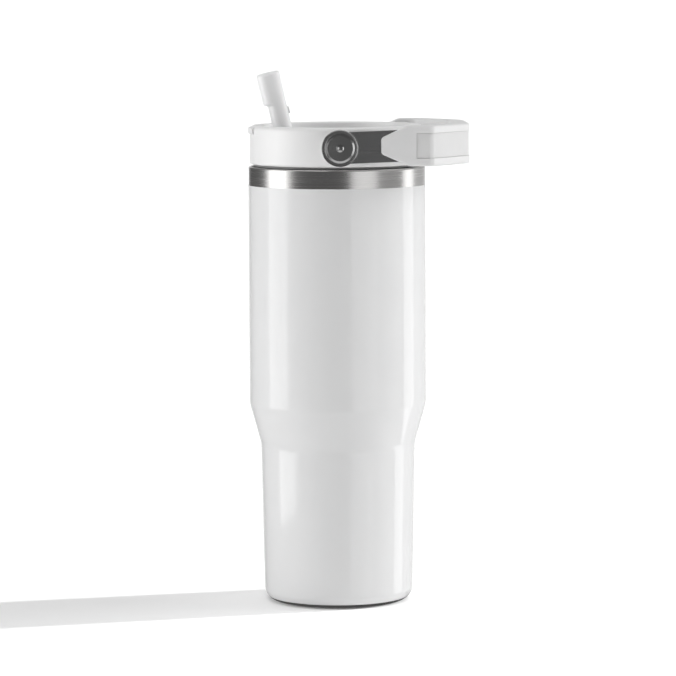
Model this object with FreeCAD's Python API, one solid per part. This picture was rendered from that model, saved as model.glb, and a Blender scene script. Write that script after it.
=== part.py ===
"""A vacuum-insulated steel tumbler with a screw lid, a flip-up straw spout and a swinging carry handle.

Millimetres, +Z up. The origin is the middle of the foot ring's plane, on the flask's axis.
The handle points along +X, its pivots lie on the +Y and -Y sides, and the spout stands at -X.
Every function below makes one physical piece; the table at the end writes each to parts/NAME.step.
"""

import FreeCAD, Part
import math
import os
from FreeCAD import Vector

# --- driving dimensions -----------------------------------------------------------------------
# Flask: radii and heights of the bare outer wall. The foot stands on z = 0.
WALL_R = 44.4
LOWER_TOP_R = 38.7
LOWER_BOTTOM_R = 37.2
RIM_Z = 220.3
SHOULDER_TOP_Z = 100.5
SHOULDER_FOOT_Z = 80.0
FOOT_CORNER_R = 6.3
FOOT_INNER_R = 27.0
STEEL_T = 0.5
LINER_T = 0.4
WALL_GAP = 2.4
COAT_T = 0.2
COAT_TOP_Z = 210.9
LINER_FLOOR_Z = 7.5
FOIL_T = 0.12
FOIL_AIR = 0.15
FOIL_LOW_Z = 24.0
FOIL_TOP_Z = 196.0
WELD_Z = 2.6
PORT_R = 1.5

# Screw thread between the liner's neck and the lid's plug: one right-hand start.
THREAD_PITCH = 5.0
THREAD_FOOT = 2.2
THREAD_CREST = 1.0
NECK_THREAD_CREST_R = 39.6
NECK_THREAD_Z = 207.5
PLUG_THREAD_CREST_R = 40.3
THREAD_DROP = 1.6

# Lid.
LID_FOOT_Z = 221.5
LID_TOP_Z = 241.0
LID_FOOT_R = 43.9
LID_TOP_R = 43.6
LID_WALL_T = 1.7
LID_ROOF_T = 2.4
LEDGE_DEPTH = 1.1
LEDGE_HALF_ANGLE = 17.0
LEDGE_LOW_Z = 236.6
LEDGE_TOP_Z = 240.1
DISH_R = 36.5
PLUG_R = 38.6
PLUG_FOOT_Z = 202.5
FLANGE_Z = 222.2
DECK_TOP_Z = 235.5
DECK_T = 2.0
CHANNEL_FLOOR_Z = 227.6
CHANNEL_HALF_W = 11.5
CHANNEL_BACK_X = -34.0
CHANNEL_FRONT_X = 16.0
FINGER_DIP_R = 16.0
FINGER_DIP_Z = CHANNEL_FLOOR_Z + 15.2
VENT_R = 2.3

# Spout: a flat oval mouthpiece on a round drum, leaning outwards when it is up.
HINGE_X = -25.6
HINGE_Z = 233.0
SPOUT_LEAN = 13.5
SPOUT_L = 35.4
SPOUT_T = 9.4
SPOUT_W = 17.0
DRUM_R = 6.5
DRUM_HALF_W = 11.2
SPOUT_BORE_R = 3.6
LIP_T = 2.0
LIP_START = 18.8
LIP_RISE = 1.4
VENT_ALONG = 14.9
PIN_R = 1.25
PIN_START_Y = 5.6

# Straw.
STRAW_R = 4.0
STRAW_T = 0.8
STRAW_FOOT_Z = 10.5
STRAW_TOP_Z = 219.5
STRAW_JOINTS_Z = (80.0, 150.0)
STRAW_SLANT = 35

# Handle and its pivots. Y distances are measured from the flask's axis.
PIVOT_Z = 231.2
PAD_Y = 44.7
PAD_R = 9.2
WASHER_T = 0.9
ARM_Y = 45.7
ARM_T = 1.2
ARM_HALF_H = 7.85
ARM_END_X = 40.0
ARM_TILT = 2.1
ARM_EDGE_R = 0.2
HEAD_R = 9.1
HEAD_T = 2.2
DISH_EDGE_R = 7.5
DISH_FLOOR_R = 6.2
DISH_DEPTH = 0.8
SHOULDER_R = 3.8
BUSH_R = 4.6
STUD_R = 1.95
INSERT_R = 3.4
INSERT_Y = 39.0
SLIP = 0.1
RUNNING_FIT = 0.06
SNUG = 0.05
SEAL_GAP = 0.2
SEAL_R = 6.0
SEAL_BORE_R = 3.3
TOWER_TOP_Z = 222.6
GRIP_TIP_X = 20.3
GRIP_END_X = 65.8
GRIP_SIDE_Y = 48.2
GRIP_SIDE_T = 4.6
GRIP_END_T = 8.0
GRIP_LOW_Z = 222.1
GRIP_HIGH_Z = 242.3
TONGUE_LOW_Z = 228.0
TONGUE_HIGH_Z = 236.2
FLARE_TOP_X = 33.2
FLARE_FOOT_X = 34.5
PANEL_LOW_Z = 226.0
PANEL_HIGH_Z = 238.5
PANEL_START_X = 37.7
PANEL_DEPTH = 1.2
PANEL_T = 0.8

STRAW_X = HINGE_X + (DRUM_R * math.sin(math.radians(SPOUT_LEAN)))
VENT_X = HINGE_X + VENT_ALONG
UP = Vector(0, 0, 1)
AXIS = Vector(0, 0, 0)


# --- outlines ---------------------------------------------------------------------------------
def offset_path(corners, distance):
    """Moves an open path of (a, b, corner radius) to its left by distance, corner radii included."""
    pts = [Vector(c[0], c[1], 0) for c in corners]
    dirs = [(q - p).normalize() for p, q in zip(pts, pts[1:])]
    left = [Vector(-d.y, d.x, 0) for d in dirs]
    moved = []
    for i, (p, c) in enumerate(zip(pts, corners)):
        before = left[max(i - 1, 0)]
        after = left[min(i, len(left) - 1)]
        bisector = before + after
        shift = bisector * (2 * distance / bisector.dot(bisector))
        turn = dirs[max(i - 1, 0)].cross(dirs[min(i, len(dirs) - 1)]).z
        radius = 0.0
        if c[2] > 0:
            radius = max(c[2] - math.copysign(distance, turn), 0.05)
        moved.append((p.x + shift.x, p.y + shift.y, radius))
    return moved


def rounded_wire(corners, place):
    """A closed wire through (a, b, corner radius); place turns (a, b) into a point in space."""
    n = len(corners)
    edges = []
    cuts = []
    for i, (a, b, radius) in enumerate(corners):
        p = Vector(a, b, 0)
        back = (Vector(*corners[i - 1][:2], 0) - p).normalize()
        ahead = (Vector(*corners[(i + 1) % n][:2], 0) - p).normalize()
        half = back.getAngle(ahead) / 2
        if radius <= 0 or abs(half - math.pi / 2) < 1e-4:
            cuts.append((p, None, p))
            continue
        reach = radius / math.tan(half)
        centre = p + (back + ahead).normalize() * (radius / math.sin(half))
        middle = centre + (p - centre).normalize() * radius
        cuts.append((p + back * reach, middle, p + ahead * reach))
    for i, (start, middle, end) in enumerate(cuts):
        if middle is not None:
            edges.append(Part.Arc(place(start), place(middle), place(end)).toShape())
        following = cuts[(i + 1) % n][0]
        if (following - end).Length > 1e-6:
            edges.append(Part.LineSegment(place(end), place(following)).toShape())
    return Part.Wire(edges)


def in_section(p):
    """(radius, height) to a point of the XZ half plane."""
    return Vector(p.x, 0, p.y)


def in_plan(p):
    """(x, y) to a point of the ground plane."""
    return Vector(p.x, p.y, 0)


def turned(corners):
    """A solid of revolution about Z from a closed (radius, height, corner radius) outline."""
    face = Part.Face(rounded_wire(corners, in_section))
    return face.revolve(AXIS, UP, 360)


def sheet_strip(path, thickness):
    """The closed outline of sheet metal that follows a path, its thickness laid to the left."""
    return list(path) + list(reversed(offset_path(path, thickness)))


def prism(corners, low, high):
    """A plan outline raised from one height to another."""
    face = Part.Face(rounded_wire(corners, in_plan))
    face.translate(Vector(0, 0, low))
    return face.extrude(Vector(0, 0, high - low))


def ring(r_out, r_in, low, high):
    """A plain upright ring, or a disc if r_in is 0."""
    body = Part.makeCylinder(r_out, high - low, Vector(0, 0, low))
    if r_in > 0:
        body = body.cut(Part.makeCylinder(r_in, high - low, Vector(0, 0, low)))
    return body


def post(x, radius, low, high):
    """An upright round post on the XZ plane."""
    return Part.makeCylinder(radius, high - low, Vector(x, 0, low))


def cross_rod(x, z, radius, y_from, y_to):
    """A round rod along Y between two Y values."""
    start = Vector(x, min(y_from, y_to), z)
    return Part.makeCylinder(radius, abs(y_to - y_from), start, Vector(0, 1, 0))


def block(x0, x1, half_y, z0, z1):
    """A box that is even about the XZ plane."""
    return Part.makeBox(x1 - x0, 2 * half_y, z1 - z0, Vector(x0, -half_y, z0))


def thread_ridge(root_r, crest_r, low_z):
    """One turn of a trapezoid thread. root_r lies a little inside the wall that carries it."""
    helix = Part.makeHelix(THREAD_PITCH, THREAD_PITCH, root_r)
    foot = THREAD_FOOT / 2
    crest = THREAD_CREST / 2
    profile = Part.makePolygon([
        Vector(root_r, 0, -foot),
        Vector(crest_r, 0, -crest),
        Vector(crest_r, 0, crest),
        Vector(root_r, 0, foot),
        Vector(root_r, 0, -foot),
    ])
    ridge = Part.Wire(helix).makePipeShell([profile], True, True)
    ridge.translate(Vector(0, 0, low_z))
    return ridge


# --- flask ------------------------------------------------------------------------------------
WALL_PATH = [
    (WALL_R, RIM_Z, 0),
    (WALL_R, SHOULDER_TOP_Z, 10),
    (LOWER_TOP_R, SHOULDER_FOOT_Z, 14),
    (LOWER_BOTTOM_R, 0, FOOT_CORNER_R),
    (FOOT_INNER_R, 0, 0),
]
LINER_PATH = offset_path(WALL_PATH, -STEEL_T - WALL_GAP)[:3]
LINER_WALL_R = WALL_R - STEEL_T - WALL_GAP
LINER_LOW_R = LOWER_BOTTOM_R - STEEL_T - WALL_GAP


def outer_shell():
    rim = (LINER_WALL_R, RIM_Z, 0)
    rolled_edge = (WALL_R, RIM_Z, 0.9)
    weld_lip = (FOOT_INNER_R, WELD_Z, 0)
    path = [rim, rolled_edge, *WALL_PATH[1:4], (FOOT_INNER_R, 0, 0.6), weld_lip]
    return turned(sheet_strip(path, -STEEL_T))


def powder_coat():
    path = [(WALL_R, COAT_TOP_Z, 0), *WALL_PATH[1:]]
    skin = turned(sheet_strip(path, COAT_T))
    ground_clearance = 0.1
    below = block(-60, 60, 60, -5, ground_clearance)
    return skin.cut(below)


def inner_liner():
    """The cup's wall, a drawn tube with the neck's thread. Its floor is a disc welded into the end."""
    path = [(LINER_WALL_R, RIM_Z, 0), *LINER_PATH[1:], (LINER_LOW_R, LINER_FLOOR_Z, 0)]
    wall = turned(sheet_strip(path, -LINER_T))
    bite = 0.25
    return wall.fuse(thread_ridge(LINER_WALL_R - LINER_T + bite, NECK_THREAD_CREST_R, NECK_THREAD_Z))


def liner_floor():
    return ring(LINER_LOW_R - LINER_T, 0, LINER_FLOOR_Z, LINER_FLOOR_Z + LINER_T)


def heat_foil():
    """Foil wrapped round the cup inside the vacuum, with a hair of air behind it."""
    wrap = [(LINER_WALL_R, FOIL_TOP_Z, 0), *LINER_PATH[1:], (LINER_LOW_R, LINER_FLOOR_Z, 0)]
    foil = turned(sheet_strip(offset_path(wrap, FOIL_AIR), FOIL_T))
    return foil.cut(ring(WALL_R, 0, 0, FOIL_LOW_Z))


def outer_bottom():
    return ring(FOOT_INNER_R + STEEL_T, PORT_R, WELD_Z, WELD_Z + STEEL_T)


def vacuum_seal_plug():
    head = post(0, 2 * PORT_R, WELD_Z - 1.0, WELD_Z)
    return head.fuse(post(0, PORT_R, WELD_Z, WELD_Z + STEEL_T))


def base_cover():
    """A shallow pressed dish whose face lies in the foot ring's plane."""
    fit_r = FOOT_INNER_R - 0.05
    path = [(0, 0, 0), (fit_r, 0, 0.8), (fit_r, 2.5, 0)]
    return turned(sheet_strip(path, 0.5))


def getter_pellet():
    floor_z = WELD_Z + STEEL_T
    return post(14.0, 4.0, floor_z, floor_z + 2.0)


# --- lid --------------------------------------------------------------------------------------
def lid_shell():
    hollow_r = LID_FOOT_R - LID_WALL_T
    hollow_top = LID_TOP_Z - LID_ROOF_T
    shell = turned([
        (LID_FOOT_R, LID_FOOT_Z, 1.0),
        (LID_TOP_R, LID_TOP_Z, 2.2),
        (DISH_R, LID_TOP_Z, 1.2),
        (DISH_R, PLUG_FOOT_Z, 0.4),
        (PLUG_R, PLUG_FOOT_Z, 0.7),
        (PLUG_R, hollow_top, 0.5),
        (hollow_r, hollow_top, 0.5),
        (hollow_r, LID_FOOT_Z, 0.3),
    ])
    bite = 0.25
    ridge = thread_ridge(PLUG_R - bite, PLUG_THREAD_CREST_R, NECK_THREAD_Z - THREAD_DROP)
    shell = shell.fuse(ridge)
    shell = shell.fuse(thumb_ledge())
    for side in (-1, 1):
        pad = cross_rod(0, PIVOT_Z, PAD_R, side * (hollow_r - 0.2), side * PAD_Y)
        pad = pad.cut(ring(hollow_r, 0, PLUG_FOOT_Z, LID_TOP_Z))
        socket = cross_rod(0, PIVOT_Z, 6.0, side * (PLUG_R - 0.3), side * PAD_Y)
        socket = socket.cut(ring(PLUG_R - 0.1, 0, PLUG_FOOT_Z, LID_TOP_Z))
        bore = cross_rod(0, PIVOT_Z, INSERT_R, side * (INSERT_Y - 0.4), side * PAD_Y)
        shell = shell.fuse(pad).fuse(socket).cut(bore)
    return shell


def thumb_ledge():
    """A short ledge under the rim on the spout's side, for the thumb that flips the spout."""
    root_r = LID_TOP_R - 1.0
    tip_r = LID_TOP_R + LEDGE_DEPTH
    draft = 0.3
    outline = [
        (root_r, LEDGE_LOW_Z - draft, 0),
        (tip_r, LEDGE_LOW_Z + draft, 0.6),
        (tip_r, LEDGE_TOP_Z - draft, 0.9),
        (root_r, LEDGE_TOP_Z + draft, 0),
    ]
    face = Part.Face(rounded_wire(outline, in_section))
    face.rotate(AXIS, UP, 180 - LEDGE_HALF_ANGLE)
    return face.revolve(AXIS, UP, 2 * LEDGE_HALF_ANGLE)


def flange_ring():
    gap = 0.1
    return ring(LID_FOOT_R - LID_WALL_T - gap, PLUG_R + gap, FLANGE_Z, FLANGE_Z + 2.0)


def lid_gasket():
    low = RIM_Z + 0.05
    high = FLANGE_Z - SLIP
    lip = 0.5
    return turned([
        (PLUG_R + 0.25, low + lip, 0.3),
        (PLUG_R + 1.0, low, 0.3),
        (41.9, low, 0.4),
        (41.9, high, 0.4),
        (PLUG_R + 0.25, high, 0.4),
    ])


def deck():
    """The floor of the dish: a plate with the spout's trough let into it."""
    wall = DECK_T
    inside = ring(DISH_R - SNUG, 0, CHANNEL_FLOOR_Z - 2 * wall, DECK_TOP_Z)
    plate = ring(DISH_R - SNUG, 0, DECK_TOP_Z - wall, DECK_TOP_Z)
    trough = block(CHANNEL_BACK_X - wall, CHANNEL_FRONT_X + wall, CHANNEL_HALF_W + wall,
                   CHANNEL_FLOOR_Z - wall, DECK_TOP_Z)
    outside_y = CHANNEL_HALF_W + wall
    drum_room_r = DRUM_R + 0.3
    cradle = cross_rod(HINGE_X, HINGE_Z, drum_room_r + wall, -outside_y, outside_y)
    dip_centre = Vector(CHANNEL_FRONT_X - 2, 0, FINGER_DIP_Z)
    bowl = Part.makeSphere(FINGER_DIP_R + wall, dip_centre)
    body = plate.fuse(trough.common(inside)).fuse(cradle.common(inside)).fuse(bowl.common(inside))
    channel = block(CHANNEL_BACK_X, CHANNEL_FRONT_X, CHANNEL_HALF_W, CHANNEL_FLOOR_Z, LID_TOP_Z)
    upright = [e for e in channel.Edges if abs(e.tangentAt(e.FirstParameter).z) > 0.9]
    body = body.cut(channel.makeFillet(3.0, upright))
    body = body.cut(cross_rod(HINGE_X, HINGE_Z, drum_room_r, -CHANNEL_HALF_W, CHANNEL_HALF_W))
    body = body.cut(Part.makeSphere(FINGER_DIP_R, dip_centre))
    body = body.cut(cross_rod(HINGE_X, HINGE_Z, PIN_R, -outside_y, outside_y))
    body = body.cut(post(STRAW_X, SEAL_R, TOWER_TOP_Z, HINGE_Z))
    return body.cut(post(VENT_X, VENT_R, TOWER_TOP_Z, HINGE_Z))


def spout_seal():
    """A soft collar under the drum. The drum turns on its hollow top, and the straw's tower meets it."""
    collar = post(STRAW_X, SEAL_R, TOWER_TOP_Z, CHANNEL_FLOOR_Z - 0.1)
    drum = cross_rod(HINGE_X, HINGE_Z, DRUM_R + SEAL_GAP, -CHANNEL_HALF_W, CHANNEL_HALF_W)
    return collar.cut(drum).cut(post(STRAW_X, SEAL_BORE_R, TOWER_TOP_Z, HINGE_Z))


def plug_base():
    """The disc that closes the plug from below, with the tower that holds the straw."""
    floor_z = PLUG_FOOT_Z + 0.5
    disc = ring(DISH_R - SNUG, 0, floor_z, floor_z + DECK_T)
    body = disc.fuse(post(STRAW_X, STRAW_R + 2.0, floor_z, TOWER_TOP_Z))
    body = body.cut(post(STRAW_X, STRAW_R + SNUG, floor_z, STRAW_TOP_Z))
    body = body.cut(post(STRAW_X, SEAL_BORE_R, floor_z, TOWER_TOP_Z))
    return body.cut(post(12.0, 2.0, floor_z, floor_z + DECK_T))


def straw_tube(low, high):
    tube = post(STRAW_X, STRAW_R, low, high)
    return tube.cut(post(STRAW_X, STRAW_R - STRAW_T, low, high))


def straw_foot():
    """The straw's lowest length. Its end is cut on a slant, so that it can't seal on the floor."""
    reach = 4 * STRAW_R
    slant = block(-reach, reach, reach, -reach, 0)
    slant.rotate(AXIS, Vector(0, 1, 0), STRAW_SLANT)
    rise = STRAW_R * math.tan(math.radians(STRAW_SLANT))
    slant.translate(Vector(STRAW_X, 0, STRAW_FOOT_Z + rise))
    return straw_tube(STRAW_FOOT_Z, STRAW_JOINTS_Z[0]).cut(slant)


def straw_middle():
    return straw_tube(*STRAW_JOINTS_Z)


def straw_top():
    return straw_tube(STRAW_JOINTS_Z[1], STRAW_TOP_Z)


def hinge_pin(side):
    """A short trunnion from the channel's wall into the drum. The bore between the pair stays clear."""
    return cross_rod(HINGE_X, HINGE_Z, PIN_R, side * PIN_START_Y, side * (CHANNEL_HALF_W + 1.8))


# --- spout ------------------------------------------------------------------------------------
def lean(shape):
    """Moves a shape from the spout's own frame, hinge at the origin, to where it stands open."""
    shape.rotate(AXIS, Vector(0, 1, 0), -SPOUT_LEAN)
    shape.translate(Vector(HINGE_X, 0, HINGE_Z))
    return shape


def spout():
    half_t = SPOUT_T / 2
    half_w = SPOUT_W / 2
    corner = half_t - 0.1
    oval = [(half_t, -half_w, corner), (half_t, half_w, corner),
            (-half_t, half_w, corner), (-half_t, -half_w, corner)]
    neck = prism(oval, 0, SPOUT_L)
    front = -half_t - LIP_T
    side = [(-2.0, LIP_START - 1.5, 0), (-half_t, LIP_START, 0), (front, LIP_START + LIP_RISE, 0.5),
            (front, SPOUT_L, 1.2), (-2.0, SPOUT_L, 0)]
    pad = Part.Face(rounded_wire(side, in_section)).extrude(Vector(0, SPOUT_W, 0))
    pad.translate(Vector(0, -half_w, 0))
    wide_oval = [(half_t, -half_w, corner), (half_t, half_w, corner),
                 (front, half_w, corner), (front, -half_w, corner)]
    pad = pad.common(prism(wide_oval, 0, SPOUT_L))
    drum = cross_rod(0, 0, DRUM_R, -DRUM_HALF_W, DRUM_HALF_W)
    body = neck.fuse(pad).fuse(drum)
    body = body.cut(post(0, SPOUT_BORE_R, -20, SPOUT_L + 5))
    for side in (-1, 1):
        body = body.cut(cross_rod(0, 0, PIN_R + RUNNING_FIT, side * (PIN_START_Y - 0.3), side * 20))
    socket = Part.makeCylinder(1.2, 1.2, Vector(half_t - 1.2, 0, VENT_ALONG), Vector(1, 0, 0))
    return lean(body.cut(socket).removeSplitter())


def vent_stopper():
    """The soft button on the spout's underside that shuts the vent hole when the spout is down."""
    half_t = SPOUT_T / 2
    stem = Part.makeCylinder(1.2, 1.2, Vector(half_t - 1.2, 0, VENT_ALONG), Vector(1, 0, 0))
    button = Part.makeCylinder(1.9, 0.9, Vector(half_t, 0, VENT_ALONG), Vector(1, 0, 0))
    outer_edge = [e for e in button.Edges if e.BoundBox.XMin > half_t + 0.8]
    return lean(stem.fuse(button.makeFillet(0.5, outer_edge)))


# --- handle -----------------------------------------------------------------------------------
def handle_arm(side):
    """A flat steel arm with a round eye; its far end is buried in the grip."""
    y0 = side * ARM_Y if side > 0 else -ARM_Y - ARM_T
    strip = Part.makeBox(ARM_END_X, ARM_T, 2 * ARM_HALF_H, Vector(0, y0, PIVOT_Z - ARM_HALF_H))
    eye = cross_rod(0, PIVOT_Z, HEAD_R - 0.2, y0, y0 + ARM_T)
    hole = cross_rod(0, PIVOT_Z, BUSH_R + RUNNING_FIT, y0, y0 + ARM_T)
    anchor = cross_rod(32.0, PIVOT_Z, 3.0, y0, y0 + ARM_T)
    arm = strip.fuse(eye).removeSplitter()
    rims = [e for e in arm.Edges if e.BoundBox.YLength < 1e-6 and e.BoundBox.XMin < ARM_END_X - 0.01]
    arm = arm.makeFillet(ARM_EDGE_R, rims).cut(hole).cut(anchor)
    arm.rotate(Vector(0, 0, PIVOT_Z), Vector(0, 1, 0), -ARM_TILT)
    return arm


GRIP_OUTER = [
    (GRIP_TIP_X, -GRIP_SIDE_Y, 0),
    (45.8, -GRIP_SIDE_Y, 8),
    (GRIP_END_X, -21.5, 9),
    (GRIP_END_X, 21.5, 9),
    (45.8, GRIP_SIDE_Y, 8),
    (GRIP_TIP_X, GRIP_SIDE_Y, 0),
]
GRIP_INNER = [
    (GRIP_TIP_X, -GRIP_SIDE_Y + GRIP_SIDE_T, 0),
    (40.8, -GRIP_SIDE_Y + GRIP_SIDE_T, 6),
    (GRIP_END_X - GRIP_END_T, -20.5, 7),
    (GRIP_END_X - GRIP_END_T, 20.5, 7),
    (40.8, GRIP_SIDE_Y - GRIP_SIDE_T, 6),
    (GRIP_TIP_X, GRIP_SIDE_Y - GRIP_SIDE_T, 0),
]


def side_flare():
    """The grip's side outline: a narrow tongue that widens to the full height."""
    far_x = GRIP_END_X + 10
    outline = [
        (GRIP_TIP_X + 0.5, TONGUE_LOW_Z, 1.2),
        (FLARE_FOOT_X, GRIP_LOW_Z, 3),
        (far_x, GRIP_LOW_Z, 0),
        (far_x, GRIP_HIGH_Z, 0),
        (FLARE_TOP_X, GRIP_HIGH_Z, 3),
        (GRIP_TIP_X, TONGUE_HIGH_Z, 1.2),
    ]
    face = Part.Face(rounded_wire(outline, in_section))
    face.translate(Vector(0, -60, 0))
    return face.extrude(Vector(0, 120, 0))


def panel_band(depth, thickness):
    """A band of the given thickness round the grip's outside, its outer face at a depth below it."""
    face_path = offset_path(GRIP_OUTER, depth) if depth else GRIP_OUTER
    band = prism(sheet_strip(face_path, thickness), PANEL_LOW_Z, PANEL_HIGH_Z)
    return band.common(block(PANEL_START_X, 80, 60, PANEL_LOW_Z, PANEL_HIGH_Z))


def handle_grip():
    body = prism([*GRIP_OUTER, *reversed(GRIP_INNER)], GRIP_LOW_Z, GRIP_HIGH_Z)
    level = [e for e in body.Edges if e.BoundBox.ZLength < 1e-6]
    body = body.makeFillet(1.6, [e for e in level if e.BoundBox.XMax > GRIP_TIP_X + 0.01])
    body = body.common(side_flare())
    for side in (-1, 1):
        body = body.cut(handle_arm(side))
    return body.cut(panel_band(0, PANEL_DEPTH))


def grip_panel():
    return panel_band(PANEL_DEPTH - PANEL_T, PANEL_T)


# --- handle pivots ----------------------------------------------------------------------------
def pivot_bolt(side):
    """A shoulder bolt with a dished round head. Its stud screws into the insert in the lid's wall."""
    head_y = ARM_Y + ARM_T + SLIP
    outline = [
        (0, head_y, 0),
        (HEAD_R, head_y, 0.2),
        (HEAD_R, head_y + HEAD_T, 0.9),
        (DISH_EDGE_R, head_y + HEAD_T, 0.3),
        (DISH_FLOOR_R, head_y + HEAD_T - DISH_DEPTH, 0.4),
        (0, head_y + HEAD_T - DISH_DEPTH - 0.3, 0),
    ]
    head = turned(outline)
    shoulder = ring(SHOULDER_R, 0, PAD_Y, head_y)
    stud = ring(STUD_R, 0, INSERT_Y + 0.6, PAD_Y)
    return stand_out(head.fuse(shoulder).fuse(stud), side)


def stand_out(shape, side):
    """Turns a piece made along +Z so that it points out along Y at the pivot's height."""
    shape.rotate(AXIS, Vector(1, 0, 0), -90 * side)
    shape.translate(Vector(0, 0, PIVOT_Z))
    return shape


def pivot_washer(side):
    return stand_out(ring(PAD_R - 0.4, SHOULDER_R + 0.05, PAD_Y, PAD_Y + WASHER_T), side)


def pivot_bush(side):
    low = PAD_Y + WASHER_T
    return stand_out(ring(BUSH_R, SHOULDER_R + 0.02, low, ARM_Y + ARM_T + SLIP), side)


def pivot_insert(side):
    return stand_out(ring(INSERT_R, STUD_R, INSERT_Y, PAD_Y), side)


# --- the bill of pieces -----------------------------------------------------------------------
PIECES = {
    "outer_shell": outer_shell,
    "powder_coat": powder_coat,
    "inner_liner": inner_liner,
    "liner_floor": liner_floor,
    "heat_foil": heat_foil,
    "outer_bottom": outer_bottom,
    "vacuum_seal_plug": vacuum_seal_plug,
    "base_cover": base_cover,
    "getter_pellet": getter_pellet,
    "lid_gasket": lid_gasket,
    "lid_shell": lid_shell,
    "flange_ring": flange_ring,
    "deck": deck,
    "spout_seal": spout_seal,
    "plug_base": plug_base,
    "straw_foot": straw_foot,
    "straw_middle": straw_middle,
    "straw_top": straw_top,
    "spout": spout,
    "vent_stopper": vent_stopper,
    "handle_grip": handle_grip,
    "grip_panel": grip_panel,
}
PAIRED = {
    "hinge_pin": hinge_pin,
    "handle_arm": handle_arm,
    "pivot_bolt": pivot_bolt,
    "pivot_washer": pivot_washer,
    "pivot_bush": pivot_bush,
    "pivot_insert": pivot_insert,
}


def write(name, shape):
    solids = shape.Solids
    ok = shape.isValid() and all(s.isClosed() and s.Volume > 0 for s in solids)
    shape.exportStep(f"parts/{name}.step")
    print(f"{name:20s} solids {len(solids)}  volume {shape.Volume / 1000:8.3f} cm3  {'ok' if ok else 'BAD'}")


os.makedirs("parts", exist_ok=True)
for name, make in PIECES.items():
    write(name, make())
for name, make in PAIRED.items():
    write(f"{name}_front", make(-1))
    write(f"{name}_back", make(1))
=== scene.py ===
# %% [markdown]
# # A flip-straw tumbler, rebuilt around its fixed frame
# The flask, lid, spout and handle were designed first as solid parts. They arrive here as a frame that
# never moves. This lesson gives the frame its looks. Parts that only need a colour and a gloss keep their
# shape and get a finish. Parts whose soft edges catch the light are modelled again in their place.
# Everything is in metres, the flask stands on z = 0 and the handle points to +X.

# %% Load the frame
import math

import bmesh
import bpy
from mathutils import Matrix, Vector


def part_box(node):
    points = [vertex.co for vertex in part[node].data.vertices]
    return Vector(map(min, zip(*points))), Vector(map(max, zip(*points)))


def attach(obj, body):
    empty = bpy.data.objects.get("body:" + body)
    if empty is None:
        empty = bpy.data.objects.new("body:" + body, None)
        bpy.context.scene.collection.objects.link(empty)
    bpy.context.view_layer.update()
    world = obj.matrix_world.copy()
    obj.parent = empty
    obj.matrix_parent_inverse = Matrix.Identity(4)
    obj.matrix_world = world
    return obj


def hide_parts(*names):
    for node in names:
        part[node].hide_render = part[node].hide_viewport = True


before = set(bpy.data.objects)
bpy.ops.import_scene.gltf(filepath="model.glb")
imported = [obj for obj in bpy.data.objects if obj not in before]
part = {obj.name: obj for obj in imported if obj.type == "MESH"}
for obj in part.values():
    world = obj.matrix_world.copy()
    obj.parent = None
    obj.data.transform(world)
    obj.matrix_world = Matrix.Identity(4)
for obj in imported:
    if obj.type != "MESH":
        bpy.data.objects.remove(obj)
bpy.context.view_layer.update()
MM = 0.001
HAIR = 0.001 * MM
TINY = 0.01 * MM

# %% [markdown]
# ## Working by hand, in code
# Blender's operators act on whatever is selected, and the loaded parts come in selected. So every new
# piece starts with an empty selection, and faces, edges or points are picked by where they are or which
# way they face. Three small helpers keep that readable.

# %% Selecting by place
def edit(piece):
    """Opens one piece in edit mode with nothing picked."""
    bpy.ops.object.select_all(action="DESELECT")
    bpy.context.view_layer.objects.active = piece
    piece.select_set(True)
    bpy.ops.object.mode_set(mode="EDIT")
    bpy.ops.mesh.select_all(action="DESELECT")


def pick(piece, kind, test):
    """Picks the points, edges or faces of the open piece that pass a test, and says how many."""
    bpy.ops.mesh.select_mode(type={"verts": "VERT", "edges": "EDGE", "faces": "FACE"}[kind])
    bpy.ops.mesh.select_all(action="DESELECT")
    mesh = bmesh.from_edit_mesh(piece.data)
    chosen = [element for element in getattr(mesh, kind) if test(element)]
    for element in chosen:
        element.select_set(True)
    mesh.select_flush_mode()
    bmesh.update_edit_mesh(piece.data)
    return len(chosen)


def close_edit(piece, smooth_below=35.0):
    """Leaves edit mode, lays the piece's place into its mesh and shades it smooth up to an angle."""
    bpy.ops.object.mode_set(mode="OBJECT")
    bpy.ops.object.transform_apply(location=True, rotation=True, scale=True)
    bpy.ops.object.shade_smooth_by_angle(angle=math.radians(smooth_below))
    print(f"{piece.name}: {len(piece.data.polygons)} faces")
    return piece


def apply_modifier(piece, kind, **settings):
    """Adds one modifier, sets it up and applies it at once."""
    bpy.ops.object.select_all(action="DESELECT")
    bpy.context.view_layer.objects.active = piece
    piece.select_set(True)
    modifier = piece.modifiers.new(kind.title(), kind)
    for name, value in settings.items():
        setattr(modifier, name, value)
    bpy.ops.object.modifier_apply(modifier=modifier.name)


# %% [markdown]
# ## Outlines
# A turned or sheet-metal part is easiest to think of as an outline with rounded corners. The outline
# starts as one point, grows by extruding that point from corner to corner, and each corner is then
# bevelled into an arc. Bevelling by hand asks for the distance cut off each leg, which is the arc's
# radius times the tangent of half the turn.

# %% Drawing an outline
DEGREES_PER_STEP = 6


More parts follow.
